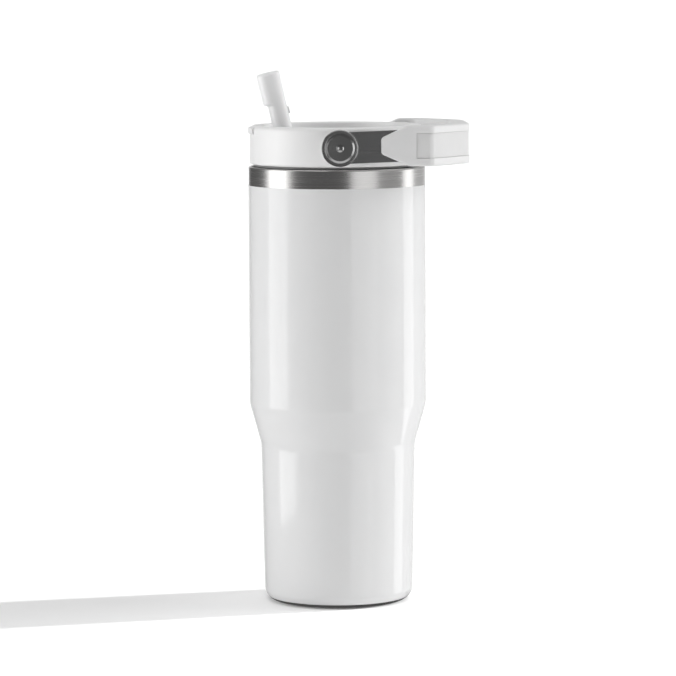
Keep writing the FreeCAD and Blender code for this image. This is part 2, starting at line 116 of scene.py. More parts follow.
def draw_outline(name, corners):
    """Draws a chain of (x, y, z, corner radius) and rounds it. Leaves the piece open in edit mode."""
    points = [Vector(corner[:3]) for corner in corners]
    bpy.ops.object.select_all(action="DESELECT")
    bpy.ops.mesh.primitive_plane_add(size=MM, location=points[0])
    piece = bpy.context.object
    piece.name = name
    piece.data.name = name
    bpy.ops.object.mode_set(mode="EDIT")
    bpy.ops.mesh.select_mode(type="VERT")
    bpy.ops.mesh.select_all(action="SELECT")
    bpy.ops.mesh.merge(type="CENTER")
    bpy.ops.object.mode_set(mode="OBJECT")
    bpy.ops.object.transform_apply(location=True)
    bpy.ops.object.mode_set(mode="EDIT")
    for here, there in zip(points, points[1:]):
        bpy.ops.mesh.extrude_vertices_move(TRANSFORM_OT_translate={"value": there - here})
    for before, corner, after in zip(corners, corners[1:], corners[2:]):
        if corner[3] > 0:
            round_corner(piece, Vector(before[:3]), corner, Vector(after[:3]))
    return piece


def round_corner(piece, before, corner, after):
    """Turns one corner of the open outline into an arc of short, even steps."""
    place = Vector(corner[:3])
    turn = (place - before).angle(after - place)
    cut_off = corner[3] * math.tan(turn / 2)
    pick(piece, "verts", lambda v: (v.co - place).length < HAIR)
    steps = max(3, round(math.degrees(turn) / DEGREES_PER_STEP))
    bpy.ops.mesh.bevel(offset=cut_off, segments=steps, affect="VERTICES")


def turn_outline(piece, steps, centre=(0, 0, 0)):
    """Spins the open outline once round an upright axis and closes the seam."""
    bpy.ops.mesh.select_all(action="SELECT")
    bpy.ops.mesh.spin(steps=steps, angle=math.tau, center=centre, axis=(0, 0, 1))
    bpy.ops.mesh.select_all(action="SELECT")
    bpy.ops.mesh.remove_doubles(threshold=HAIR)
    bpy.ops.mesh.normals_make_consistent(inside=False)


# %% [markdown]
# ## The powder coat
# The flask's colour is a baked powder coat about a fifth of a millimetre thick. It covers the steel from
# the foot ring up to a crisp masked line below the rim. It could stay as the designed part, but its gloss
# shows every facet. So its outer face is turned here in many steps, with finely stepped fillets, and
# then thickened inwards. Only the masked line gets a bevel, because paint never ends in a knife edge.

# %% Turn the powder coat
coat_low, coat_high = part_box("powder_coat")
COAT_R = coat_high.x
COAT_T = 0.2 * MM
COAT_EDGE = 0.06 * MM
COAT_STEPS = 192
LOWER_TOP = (38.9 * MM, 79.98 * MM)
LOWER_BOTTOM = (37.4 * MM, coat_low.z)
SHOULDER_TOP_Z = 100.45 * MM
FOOT_INNER_R = 27.0 * MM

coat_skin = draw_outline("coat_skin", [
    (COAT_R, 0, coat_high.z, 0),
    (COAT_R, 0, SHOULDER_TOP_Z, 10.2 * MM),
    (LOWER_TOP[0], 0, LOWER_TOP[1], 13.8 * MM),
    (LOWER_BOTTOM[0], 0, LOWER_BOTTOM[1], 6.5 * MM),
    (FOOT_INNER_R + 1.0 * MM, 0, coat_low.z, 0),
])
turn_outline(coat_skin, COAT_STEPS)
close_edit(coat_skin)
apply_modifier(coat_skin, "SOLIDIFY", thickness=COAT_T, offset=-1)
apply_modifier(coat_skin, "BEVEL", width=COAT_EDGE, segments=2, limit_method="ANGLE",
               angle_limit=math.radians(60))
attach(coat_skin, "flask")
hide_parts("powder_coat")

# %% [markdown]
# ## The steel wall
# Above the masked line the outer wall is bare brushed steel, and its rim is rolled in towards the mouth.
# Only that band and the foot ring are seen. A short ring for each would do, but the wall is one spun
# sheet, and one outline drawn from the mouth to the foot weld is no more work than two.

# %% Turn the steel wall
wall_low, wall_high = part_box("outer_shell")
WALL_R = wall_high.x
STEEL_T = 0.5 * MM
MOUTH_R = 41.5 * MM
WELD_Z = 2.6 * MM
WALL_STEPS = 256

steel_wall = draw_outline("steel_wall", [
    (MOUTH_R, 0, wall_high.z, 0),
    (WALL_R, 0, wall_high.z, 0.9 * MM),
    (WALL_R, 0, SHOULDER_TOP_Z + 0.05 * MM, 10 * MM),
    (LOWER_TOP[0] - COAT_T, 0, 80 * MM, 14 * MM),
    (LOWER_BOTTOM[0] - COAT_T, 0, wall_low.z, 6.3 * MM),
    (FOOT_INNER_R, 0, wall_low.z, 0.6 * MM),
    (FOOT_INNER_R, 0, WELD_Z, 0),
])
turn_outline(steel_wall, WALL_STEPS)
close_edit(steel_wall)
apply_modifier(steel_wall, "SOLIDIFY", thickness=STEEL_T, offset=-1)
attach(steel_wall, "flask")
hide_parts("outer_shell")

# %% [markdown]
# ## Blocks, rods and cuts
# Moulded plastic is easiest to build from plain solids that are joined and cut. Sculpting would suit its
# soft forms too, but would lose the sizes. Each solid here is added, given its name and then laid flat
# into its mesh, so that its points can be picked by their real places.

# %% Solids and booleans
UPRIGHT = {"Z": (0, 0, 0), "Y": (math.pi / 2, 0, 0)}


def settle(name):
    """Lays the newest solid's place and size into its mesh, and names it."""
    bpy.ops.object.transform_apply(location=True, rotation=True, scale=True)
    bpy.context.object.name = name
    return bpy.context.object


def add_block(name, size, centre):
    bpy.ops.object.select_all(action="DESELECT")
    bpy.ops.mesh.primitive_cube_add(size=1, location=centre, scale=size)
    return settle(name)


def add_rod(name, radius, length, centre, along="Z", sides=64):
    bpy.ops.object.select_all(action="DESELECT")
    bpy.ops.mesh.primitive_cylinder_add(vertices=sides, radius=radius, depth=length,
                                        location=centre, rotation=UPRIGHT[along])
    return settle(name)


def boolean(piece, tool, operation):
    """Joins a tool to a piece or cuts it away, and throws the tool out."""
    apply_modifier(piece, "BOOLEAN", object=tool, operation=operation, solver="EXACT")
    bpy.data.objects.remove(tool)


def cut_across(height):
    """Marks a level line round the open piece."""
    bpy.ops.mesh.select_all(action="SELECT")
    bpy.ops.mesh.bisect(plane_co=(0, 0, height), plane_no=(0, 0, 1))


def is_upright(edge):
    """True for an edge that climbs."""
    return abs(edge.verts[0].co.z - edge.verts[1].co.z) > TINY


# %% [markdown]
# ## The spout
# The mouthpiece is one soft moulding: a flat oval neck on a round drum, with a thicker lip for the mouth.
# It could be lofted through a few ovals, but a block is quicker. It is built standing upright over its
# hinge, which keeps every cut level, and leans over only at the end.

# %% Measures of the spout
drum_low, drum_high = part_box("spout")
pin_low, pin_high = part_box("hinge_pin_front")
HINGE = Vector(((pin_low.x + pin_high.x) / 2, 0, (pin_low.z + pin_high.z) / 2))
SPOUT_LEAN = math.radians(13.5)
SPOUT_L, SPOUT_T, SPOUT_W = 35.4 * MM, 9.4 * MM, 17.0 * MM
LIP_START, LIP_RISE, LIP_T = 18.8 * MM, 1.4 * MM, 2.0 * MM
LIP_EDGE_R = 1.3 * MM
LIP_SPREAD = (1.035, 0.97, 1)
print("hinge at x, z:", round(HINGE.x / MM, 2), round(HINGE.z / MM, 2), "mm")

# %% [markdown]
# The neck's oval comes from bevelling the block's upright edges by almost half its thickness. Two level
# cuts mark the short slope where the lip starts, and the front above them is pushed out. The top is
# spread a little from front to back and drawn in from side to side, and its rim is rounded.

# %% Shape the neck and the lip
spout_body = add_block("spout_body", (SPOUT_T, SPOUT_W, SPOUT_L), (0, 0, SPOUT_L / 2))
edit(spout_body)
pick(spout_body, "edges", is_upright)
bpy.ops.mesh.bevel(offset=SPOUT_T / 2 - 0.1 * MM, segments=14, affect="EDGES")
cut_across(LIP_START)
cut_across(LIP_START + LIP_RISE)
lip_foot = LIP_START + LIP_RISE - TINY
pushed = pick(spout_body, "verts", lambda v: v.co.x < 0 and v.co.z > lip_foot)
bpy.ops.transform.translate(value=(-LIP_T, 0, 0))
pick(spout_body, "verts", lambda v: v.co.z > SPOUT_L - TINY)
bpy.ops.transform.resize(value=LIP_SPREAD, center_override=(-SPOUT_T / 2 - LIP_T, 0, SPOUT_L))
pick(spout_body, "edges", lambda e: min(v.co.z for v in e.verts) > SPOUT_L - TINY)
bpy.ops.mesh.bevel(offset=LIP_EDGE_R, segments=5, affect="EDGES")
print("points pushed out for the lip:", pushed)
close_edit(spout_body)

# %% [markdown]
# The mouth is a wide, rounded opening at the top, and a round bore runs from it down through the drum
# that turns on the hinge pins. The pins' holes enter from both sides. Each is one boolean with a plain
# solid. Modelling them into the mesh by hand would need matching edges on both surfaces.

# %% Mouth, drum and holes
DRUM_R, DRUM_HALF_W = 6.5 * MM, drum_high.y
BORE_R = 3.6 * MM
MOUTH_SIZE, MOUTH_CORNER_R = (5.6 * MM, 10.6 * MM, 3.2 * MM), 2.7 * MM
PIN_HOLE_R, PIN_HOLE_L, PIN_HOLE_Y = 1.31 * MM, 12 * MM, 11.3 * MM

mouth = add_block("mouth", MOUTH_SIZE, (-LIP_T / 2, 0, SPOUT_L))
edit(mouth)
pick(mouth, "edges", is_upright)
bpy.ops.mesh.bevel(offset=MOUTH_CORNER_R, segments=10, affect="EDGES")
close_edit(mouth)
boolean(spout_body, mouth, "DIFFERENCE")
boolean(spout_body, add_rod("drum", DRUM_R, 2 * DRUM_HALF_W, (0, 0, 0), "Y", 96), "UNION")
boolean(spout_body, add_rod("bore", BORE_R, 2 * SPOUT_L, (0, 0, SPOUT_L / 2)), "DIFFERENCE")
for side in (-1, 1):
    hole = add_rod("hinge_hole", PIN_HOLE_R, PIN_HOLE_L, (0, side * PIN_HOLE_Y, 0), "Y", 32)
    boolean(spout_body, hole, "DIFFERENCE")
print("faces after the booleans:", len(spout_body.data.polygons))

# %% [markdown]
# A mould leaves no sharp corner on so soft a part. Bevelling the booleans' edges one by one is slow and
# fails where they meet. A fine remesh turns the whole skin into small, even squares instead, and a
# little smoothing melts every edge alike. Then the spout leans over and takes its place on the hinge.

# %% Melt the edges and lean it over
apply_modifier(spout_body, "REMESH", mode="VOXEL", voxel_size=0.25 * MM)
apply_modifier(spout_body, "SMOOTH", factor=0.5, iterations=6)
spout_body.rotation_euler.y = -SPOUT_LEAN
spout_body.location = HINGE
edit(spout_body)
close_edit(spout_body, 80)
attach(spout_body, "spout")
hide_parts("spout")

# %% [markdown]
# ## The straw
# The straw is a plain extruded tube, cut on a slant at its foot so that it can't seal on the floor of
# the flask. The frame holds it in three lengths. Here it is one tube: a line is spun round the straw's
# own axis, sliced, and given its wall. Two cylinders and a boolean would do too, but need a second solid.

# %% Turn the straw
straw_low, straw_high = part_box("straw_foot")
STRAW_X = (straw_low.x + straw_high.x) / 2
STRAW_R = (straw_high.x - straw_low.x) / 2
STRAW_TOP_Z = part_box("straw_top")[1].z
STRAW_SLANT = math.radians(35)
STRAW_WALL = 0.8 * MM
STRAW_STEPS = 48
straw = draw_outline("straw_tube", [
    (STRAW_X + STRAW_R, 0, STRAW_TOP_Z, 0),
    (STRAW_X + STRAW_R, 0, straw_low.z, 0),
])
turn_outline(straw, STRAW_STEPS, (STRAW_X, 0, 0))
bpy.ops.mesh.select_all(action="SELECT")
slice_at = (STRAW_X, 0, straw_low.z + STRAW_R * math.tan(STRAW_SLANT))
bpy.ops.mesh.bisect(plane_co=slice_at, plane_no=(math.sin(STRAW_SLANT), 0, math.cos(STRAW_SLANT)),
                    clear_inner=True)
close_edit(straw)
apply_modifier(straw, "SOLIDIFY", thickness=STRAW_WALL, offset=-1)
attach(straw, "lid")
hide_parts("straw_foot", "straw_middle", "straw_top")

# %% [markdown]
# ## The grip
# The grip is a stiff plastic loop. Seen from above it is a U with rounded corners. A box-section curve
# could follow that U, but its corners would twist. So the grip starts as the U's outline, which is
# filled and raised like a thick plate.

# %% Raise the grip
grip_low, grip_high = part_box("handle_grip")
GRIP_TIP_X, GRIP_END_X, GRIP_SIDE_Y = grip_low.x, grip_high.x, grip_high.y
GRIP_H = grip_high.z - grip_low.z
SIDE_T, END_T = 4.6 * MM, 8.0 * MM
OUTER_BEND_X, INNER_BEND_X = 45.8 * MM, 40.8 * MM
OUTER_END_Y, INNER_END_Y = 21.5 * MM, 20.5 * MM


def grip_outline(side):
    """The outer run of the U for one side, tip first, then its inner run back. Rows: x, y, radius."""
    outer_y = side * GRIP_SIDE_Y
    inner_y = outer_y - side * SIDE_T
    outer = [(GRIP_TIP_X, outer_y, 0),
             (OUTER_BEND_X, outer_y, 4 * MM),
             (GRIP_END_X, side * OUTER_END_Y, 9 * MM)]
    inner = [(GRIP_END_X - END_T, side * INNER_END_Y, 7 * MM),
             (INNER_BEND_X, inner_y, 6 * MM),
             (GRIP_TIP_X, inner_y, 0)]
    return outer, inner


front_outer, front_inner = grip_outline(-1)
back_outer, back_inner = grip_outline(1)
run = front_outer + back_outer[::-1] + back_inner[::-1] + front_inner
grip_body = draw_outline("grip_body", [(x, y, grip_low.z, r) for x, y, r in run])
bpy.ops.mesh.select_all(action="SELECT")
bpy.ops.mesh.edge_face_add()
bpy.ops.mesh.extrude_region_move(TRANSFORM_OT_translate={"value": (0, 0, GRIP_H)})

# %% [markdown]
# Two slanting cuts narrow the grip's ends into tongues that clamp the steel arms. Each cut is a plane:
# a point it passes through and the way its waste lies. The long edges are rounded now, before the
# recess for the soft panel is pressed in, so that the recess keeps its own finer edge.

# %% Narrow the ends and round the edges
EDGE_R = 1.3 * MM
LOWER_CUT = ((20.8 * MM, 0, 228.0 * MM), (-0.3955, 0, -0.9185))
UPPER_CUT = ((20.3 * MM, 0, 236.2 * MM), (-0.4275, 0, 0.9040))
for on, away in (LOWER_CUT, UPPER_CUT):
    bpy.ops.mesh.select_all(action="SELECT")
    bpy.ops.mesh.bisect(plane_co=on, plane_no=away, use_fill=True, clear_outer=True)
bpy.ops.mesh.select_all(action="SELECT")
bpy.ops.mesh.normals_make_consistent(inside=False)
sharp = pick(grip_body, "edges", lambda e: e.is_manifold and e.calc_face_angle() > math.radians(20))
bpy.ops.mesh.bevel(offset=EDGE_R, segments=5, affect="EDGES", clamp_overlap=False)
print("rounded edges:", sharp)

# %% [markdown]
# ## The soft panel
# A strip of softer plastic is let into the grip's outer wall. A boolean could carve its bed, but the bed
# follows every curve of the wall. So three cuts mark the strip on the wall itself, and its faces are
# pushed in along their own normals. The same faces, copied off and thickened, are then the strip.

# %% Mark the panel and press in its bed
PANEL_LOW_Z, PANEL_HIGH_Z, PANEL_START_X = 226.0 * MM, 238.5 * MM, 37.7 * MM
PANEL_DEPTH, PANEL_T = 1.2 * MM, 0.8 * MM
PANEL_EDGE_R = 0.35 * MM
for on, across in [((0, 0, PANEL_LOW_Z), (0, 0, 1)), ((0, 0, PANEL_HIGH_Z), (0, 0, 1)),
                   ((PANEL_START_X, 0, 0), (1, 0, 0))]:
    bpy.ops.mesh.select_all(action="SELECT")
    bpy.ops.mesh.bisect(plane_co=on, plane_no=across)


def faces_out(face):
    """True on the outer wall, inside the panel's band."""
    middle = face.calc_center_median()
    out = face.normal.x + math.copysign(face.normal.y, face.normal.y * middle.y)
    upright = abs(face.normal.z) < 0.1
    return (upright and out > 0.3 and PANEL_LOW_Z < middle.z < PANEL_HIGH_Z
            and middle.x > PANEL_START_X)


print("band faces:", pick(grip_body, "faces", faces_out))
bpy.ops.mesh.extrude_region_shrink_fatten(
    TRANSFORM_OT_shrink_fatten={"value": -PANEL_DEPTH, "use_even_offset": True})
bpy.ops.mesh.duplicate()
bpy.ops.mesh.separate(type="SELECTED")
close_edit(grip_body)
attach(grip_body, "handle")
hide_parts("handle_grip")

# %% Thicken the copied faces into the panel
grip_inlay = bpy.data.objects["grip_body.001"]
grip_inlay.name = "grip_inlay"
apply_modifier(grip_inlay, "SOLIDIFY", thickness=PANEL_T, offset=1, use_even_offset=True)
apply_modifier(grip_inlay, "BEVEL", width=PANEL_EDGE_R, segments=3, limit_method="ANGLE",
               angle_limit=math.radians(50))
edit(grip_inlay)
close_edit(grip_inlay)
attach(grip_inlay, "handle")
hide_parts("grip_panel")

# %% [markdown]
# ## The pivot caps
# Each arm turns on a shoulder bolt with a wide turned head. The head has a flat rim, a polished bevel
# that falls into a dish, and a small countersunk centre left by the lathe. Stacked cylinders would give
# the steps but not the slopes, so half its section is drawn, radius by height, and spun.

# %% Turn the front cap
cap_low, cap_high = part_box("pivot_bolt_front")
PIVOT_Z = (cap_low.z + cap_high.z) / 2
CAP_R = (cap_high.z - cap_low.z) / 2
CAP_FACE = -cap_low.y
CAP_T = 2.2 * MM
CAP_FOOT = CAP_FACE - CAP_T
DISH_R, DISH = 6.3 * MM, CAP_FACE - 0.85 * MM
CENTRE_R, CENTRE = 1.9 * MM, CAP_FACE - 2.75 * MM
SHOULDER_R, SHOULDER_END = 3.8 * MM, 44.7 * MM
STUD_R, STUD_END = 1.95 * MM, -cap_high.y
SLOPE_R, RIM_R = 7.3 * MM, 7.9 * MM
front_cap = draw_outline("pivot_cap_front", [
    (0, 0, CENTRE, 0),
    (CENTRE_R, 0, DISH, 0.1 * MM),
    (DISH_R, 0, DISH, 0.25 * MM),
    (SLOPE_R, 0, CAP_FACE - 0.05 * MM, 0.25 * MM),
    (RIM_R, 0, CAP_FACE, 0.2 * MM),
    (CAP_R, 0, CAP_FACE - 0.1 * MM, 0.5 * MM),
    (CAP_R, 0, CAP_FOOT, 0.2 * MM),
    (SHOULDER_R, 0, CAP_FOOT, 0),
    (SHOULDER_R, 0, SHOULDER_END, 0),
    (STUD_R, 0, SHOULDER_END, 0),
    (STUD_R, 0, STUD_END, 0.3 * MM),
    (0, 0, STUD_END, 0),
])
turn_outline(front_cap, 96)
bpy.ops.object.mode_set(mode="OBJECT")
bpy.ops.object.transform_apply(location=True)
print(f"cap: {CAP_R / MM:.2f} mm radius, {CAP_T / MM:.1f} mm thick")

# %% [markdown]
# The cap was spun lying flat. A copy with its own mesh serves the other pivot. Each one is then tipped a
# quarter turn towards its own side and raised to the height of the pivots. A Mirror modifier would do
# the same, but both caps would be one piece, and each has to stand in for its own bolt.

# %% Copy the cap and stand both up
back_cap = front_cap.copy()
back_cap.data = front_cap.data.copy()
back_cap.name = "pivot_cap_back"
bpy.context.scene.collection.objects.link(back_cap)
for cap, side, bolt in ((front_cap, 1, "pivot_bolt_front"), (back_cap, -1, "pivot_bolt_back")):
    cap.rotation_euler.x = side * math.pi / 2
    cap.location.z = PIVOT_Z
    edit(cap)
    close_edit(cap, 30)
    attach(cap, "lid")
    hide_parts(bolt)

# %% [markdown]
# ## Finishes
# A finish is a small node tree on the main shader. It could be one flat colour, but real surfaces vary a
# little from place to place, and that is what the eye reads as a material. So each finish here has quiet
# patterns in its colour, its gloss and its relief. All of them read Object coordinates, which are metres,
# so a noise scale of 1000 gives grains about a millimetre across. Values that are even all over stay on
# the shader's own sockets.

# %% A finish and its nodes
def new_finish(name, colour, roughness, **sockets):
    """A material whose even values sit on the main shader's own sockets."""
    finish = bpy.data.materials.new(name)
    finish.use_nodes = True
    shader = shader_of(finish)
    shader.inputs["Base Color"].default_value = (*colour, 1)
    shader.inputs["Roughness"].default_value = roughness
    for socket, value in sockets.items():
        shader.inputs[socket.replace("_", " ")].default_value = value
    return finish


def shader_of(finish):
    return finish.node_tree.nodes["Principled BSDF"]


def add(finish, kind, **sockets):
    """Adds one node to a finish. Words in capitals set sockets, the rest set the node itself."""
    node = finish.node_tree.nodes.new("ShaderNode" + kind)
    for name, value in sockets.items():
        if name[0].isupper():
            node.inputs[name.replace("_", " ")].default_value = value
        else:
            setattr(node, name, value)
    return node


def join(finish, source, target):
    finish.node_tree.links.new(source, target)


def wear(finish, *pieces):
    """Gives a finish to pieces, in place of whatever they had, and says so."""
    for piece in pieces:
        piece.data.materials.clear()
        piece.data.materials.append(finish)
    print(finish.name, "on", ", ".join(piece.name for piece in pieces))


# %% [markdown]
# A pattern has three uses. `tint` lets it wander between two close shades, `vary_gloss` lets it change the
# roughness, and `emboss` turns it into relief with a Bump node, whose distance is the real height in
# metres. The Mix node keeps one set of sockets for each kind of value, all with the same names, so the
# colour ones are asked for by number.

# %% Patterns, and where they go
MIX_FACTOR, MIX_DARK, MIX_LIGHT, MIX_RESULT = 0, 6, 7, 2


def grain(finish, scale, stretch=(1, 1, 1), detail=2.0, kind="TexNoise"):
    """A noise in the piece's own metres, stretched per axis. Returns the pattern's output."""
    place = add(finish, "TexCoord")
    squeeze = add(finish, "Mapping", Scale=stretch)
    pattern = add(finish, kind, Scale=scale)
    pattern.inputs["Detail"].default_value = detail
    join(finish, place.outputs["Object"], squeeze.inputs["Vector"])
    join(finish, squeeze.outputs["Vector"], pattern.inputs["Vector"])
    return pattern.outputs[0]


def tint(finish, source, dark, light):
    """Colours the surface between two close shades of one colour."""
    blend = add(finish, "Mix", data_type="RGBA")
    blend.inputs[MIX_DARK].default_value = (*dark, 1)
    blend.inputs[MIX_LIGHT].default_value = (*light, 1)
    join(finish, source, blend.inputs[MIX_FACTOR])
    join(finish, blend.outputs[MIX_RESULT], shader_of(finish).inputs["Base Color"])
    return blend


def vary_gloss(finish, source, low, high):
    """Maps a 0..1 pattern onto the shader's roughness."""
    spread = add(finish, "MapRange", To_Min=low, To_Max=high)
    join(finish, source, spread.inputs["Value"])
    join(finish, spread.outputs["Result"], shader_of(finish).inputs["Roughness"])


def emboss(finish, source, height):
    """Turns a pattern into surface relief of the given height."""
    bump = add(finish, "Bump", Distance=height)
    join(finish, source, bump.inputs["Height"])
    join(finish, bump.outputs["Normal"], shader_of(finish).inputs["Normal"])


# %% [markdown]
# ## Powder coat finish
# Baked powder flows into a smooth, rather glossy skin with a faint orange peel. A clear coat layer over a
# matte base would also do, but one shader with a low roughness already shows the soft, straight window
# reflections. The peel is a millimetre-wide noise only a micrometre high.

# %% White powder coat
powder = new_finish("white_powder", (0.76, 0.76, 0.76), 0.05, IOR=1.5)
tint(powder, grain(powder, 60), (0.745, 0.747, 0.750), (0.767, 0.767, 0.767))
vary_gloss(powder, grain(powder, 250), 0.03, 0.06)
emboss(powder, grain(powder, 700, detail=1.5), 0.001 * MM)
wear(powder, coat_skin)

# %% [markdown]
# ## Brushed steel finish
# A belt grinder runs round the turning flask and leaves level scratches. An anisotropic shader could
# stretch the highlights, but needs tangents. Squeezing a noise along Z instead gives long, thin streaks
# that do it in colour, gloss and relief at once. The cup inside and the steel below share the finish.

# %% Brushed steel
brushed = new_finish("brushed_steel", (0.62, 0.61, 0.60), 0.25, Metallic=1)
streaks = grain(brushed, 30, stretch=(0.4, 0.4, 160), detail=4)
tint(brushed, streaks, (0.55, 0.545, 0.54), (0.70, 0.69, 0.68))
vary_gloss(brushed, streaks, 0.18, 0.32)
emboss(brushed, streaks, 0.004 * MM)
wear(brushed, steel_wall, part["inner_liner"], part["liner_floor"], part["outer_bottom"],
     part["base_cover"])

# %% [markdown]
# ## Lid plastic finish
# The lid is a moulded white plastic. Its tool was lightly sparked, which leaves a satin skin. Light goes
# a little way into such plastic, so it has a touch of subsurface scattering, which softens its edges.

# %% Lid plastic
lid_plastic = new_finish("lid_plastic", (0.82, 0.82, 0.82), 0.4, IOR=1.49, Subsurface_Weight=0.05,
                         Subsurface_Radius=(1, 1, 1), Subsurface_Scale=MM)
tint(lid_plastic, grain(lid_plastic, 90), (0.775, 0.775, 0.775), (0.80, 0.798, 0.795))
vary_gloss(lid_plastic, grain(lid_plastic, 500), 0.36, 0.46)
emboss(lid_plastic, grain(lid_plastic, 2500), 0.008 * MM)
wear(lid_plastic, part["lid_shell"], part["deck"], part["plug_base"], part["flange_ring"])

# %% [markdown]
# ## Arm steel finish
# The arms are stamped strip, brushed along their length and darker than the flask's band. The same
# squeezed noise is used, less squeezed along X, so that the streaks run from the pivot to the grip.

# %% Dark brushed arm steel
arm_steel = new_finish("arm_steel", (0.5, 0.5, 0.5), 0.26, Metallic=1)
arm_streaks = grain(arm_steel, 40, stretch=(0.6, 1, 90), detail=4)
tint(arm_steel, arm_streaks, (0.46, 0.46, 0.465), (0.58, 0.58, 0.58))
vary_gloss(arm_steel, arm_streaks, 0.2, 0.3)
emboss(arm_steel, arm_streaks, 0.003 * MM)
wear(arm_steel, part["handle_arm_front"], part["handle_arm_back"])

# %% [markdown]
# ## Turned cap finish
# A lathe leaves fine rings round the cap's own axis. A wave texture in ring mode makes even rings, which
# look drawn. Here the distance from the pivot's axis is worked out by three vector nodes, and that one
# number drives a one-dimensional noise, so every ring is a little different.

# %% Rings round the pivot
cap_steel = new_finish("cap_steel", (0.5, 0.5, 0.5), 0.22, Metallic=1)
place = add(cap_steel, "TexCoord")
from_pivot = add(cap_steel, "VectorMath", operation="SUBTRACT")
from_pivot.inputs[1].default_value = (0, 0, PIVOT_Z)
flat = add(cap_steel, "VectorMath", operation="MULTIPLY")
flat.inputs[1].default_value = (1, 0, 1)
distance = add(cap_steel, "VectorMath", operation="LENGTH")
join(cap_steel, place.outputs["Object"], from_pivot.inputs[0])
join(cap_steel, from_pivot.outputs[0], flat.inputs[0])
join(cap_steel, flat.outputs[0], distance.inputs[0])
lathe_noise = add(cap_steel, "TexNoise", noise_dimensions="1D", Scale=9000, Detail=3)
join(cap_steel, distance.outputs["Value"], lathe_noise.inputs["W"])
lathe_lines = lathe_noise.outputs[0]
print("nodes that make the rings:", len(cap_steel.node_tree.nodes) - 2)

# %% Turned steel
tint(cap_steel, lathe_lines, (0.45, 0.45, 0.45), (0.60, 0.60, 0.60))
vary_gloss(cap_steel, lathe_lines, 0.16, 0.3)
emboss(cap_steel, lathe_lines, 0.002 * MM)
wear(cap_steel, front_cap, back_cap)

# %% [markdown]
# ## Grip finishes
# The grip's frame is a stiff plastic, a little greyer and more matte than the lid. The panel let into it
# is a soft rubber-like skin, so it is rougher, and its relief is a stipple. A Voronoi pattern gives that
# stipple, because its cells look like the tiny pits of a spark-eroded tool.

# %% Grip plastic
grip_plastic = new_finish("grip_plastic", (0.78, 0.78, 0.78), 0.45, IOR=1.49)
tint(grip_plastic, grain(grip_plastic, 80), (0.70, 0.701, 0.703), (0.73, 0.728, 0.725))
vary_gloss(grip_plastic, grain(grip_plastic, 400), 0.4, 0.5)
emboss(grip_plastic, grain(grip_plastic, 2200), 0.01 * MM)
wear(grip_plastic, grip_body)

# %% Soft panel
soft_panel = new_finish("soft_panel", (0.76, 0.76, 0.76), 0.62, IOR=1.45)
stipple = grain(soft_panel, 1400, kind="TexVoronoi")
tint(soft_panel, grain(soft_panel, 120), (0.66, 0.66, 0.66), (0.69, 0.688, 0.685))
vary_gloss(soft_panel, stipple, 0.55, 0.7)
emboss(soft_panel, stipple, 0.02 * MM)
wear(soft_panel, grip_inlay)

# %% [markdown]
# ## Spout and straw finishes
# The spout is a milky, half see-through plastic. Full transmission would show its bore, which the real
# one hides, so it scatters light below its skin instead. The straw is clear, so most of its light goes
# through. It was drawn from a die, so its patterns are stretched along its length.

# %% Milky spout
milky = new_finish("milky_spout", (0.80, 0.805, 0.81), 0.3, IOR=1.46, Subsurface_Weight=0.4,
                   Subsurface_Radius=(1, 1, 1), Subsurface_Scale=3 * MM)
tint(milky, grain(milky, 70), (0.79, 0.793, 0.797), (0.82, 0.82, 0.82))
vary_gloss(milky, grain(milky, 300), 0.26, 0.36)
emboss(milky, grain(milky, 900), 0.006 * MM)
wear(milky, spout_body)

# %% Clear straw
ALONG_STRAW = (1, 1, 0.05)
clear_plastic = new_finish("clear_straw", (0.93, 0.95, 0.96), 0.18, IOR=1.46, Transmission_Weight=0.7)
vary_gloss(clear_plastic, grain(clear_plastic, 200, stretch=ALONG_STRAW), 0.12, 0.26)
emboss(clear_plastic, grain(clear_plastic, 500, stretch=ALONG_STRAW), 0.01 * MM)
wear(clear_plastic, straw)

# %% [markdown]
# ## Silicone finishes
# The neck's gasket is silicone, painted dark grey to stand for the shade in the gap under the lid, and
# the spout's seal and the vent's stopper are white. Silicone is matte and picks up dust, so its gloss
# varies more than the plastics' does. The white one is the grey one copied, with two other shades.

# %% Gasket grey as painted shade, and white silicone
# The gasket's greys are painted shade, which darkens the gap between the lid and the steel rim.
silicone = new_finish("gasket_grey_painted_shade", (0.3, 0.3, 0.3), 0.5, IOR=1.41)
shades = tint(silicone, grain(silicone, 100), (0.27, 0.27, 0.27), (0.33, 0.33, 0.33))
vary_gloss(silicone, grain(silicone, 800), 0.42, 0.6)
emboss(silicone, grain(silicone, 1500), 0.01 * MM)
wear(silicone, part["lid_gasket"])

white_silicone = silicone.copy()
white_silicone.name = "white_silicone"
white_shades = white_silicone.node_tree.nodes[shades.name]
white_shades.inputs[MIX_DARK].default_value = (0.72, 0.72, 0.72, 1)
white_shades.inputs[MIX_LIGHT].default_value = (0.78, 0.78, 0.78, 1)
wear(white_silicone, part["spout_seal"], part["vent_stopper"])

# %% [markdown]
# ## Bearings and small metals
# The washers and bushes are a waxy bearing plastic, left as moulded. The metals that hide inside are
# all made alike: one noise for the marks of the tool that made them, which breaks up colour, gloss and
# relief together. So they share one function and differ in shade, grain and direction.

# %% Bearing plastic
bearing = new_finish("bearing_plastic", (0.7, 0.7, 0.68), 0.4, IOR=1.5)
vary_gloss(bearing, grain(bearing, 900), 0.34, 0.5)
emboss(bearing, grain(bearing, 1500), 0.006 * MM)
wear(bearing, *[part[name] for name in part if name.startswith(("pivot_washer", "pivot_bush"))])


# %% Small metals
def small_metal(name, dark, light, roughness, scale, stretch=(1, 1, 1)):
    """A worked metal whose tool marks break up both its colour and its gloss."""
    metal = new_finish(name, light, roughness, Metallic=1)
    marks = grain(metal, scale, stretch=stretch, detail=4)
    tint(metal, marks, dark, light)
    vary_gloss(metal, marks, roughness * 0.8, roughness * 1.4)
    emboss(metal, marks, 0.005 * MM)
    return metal


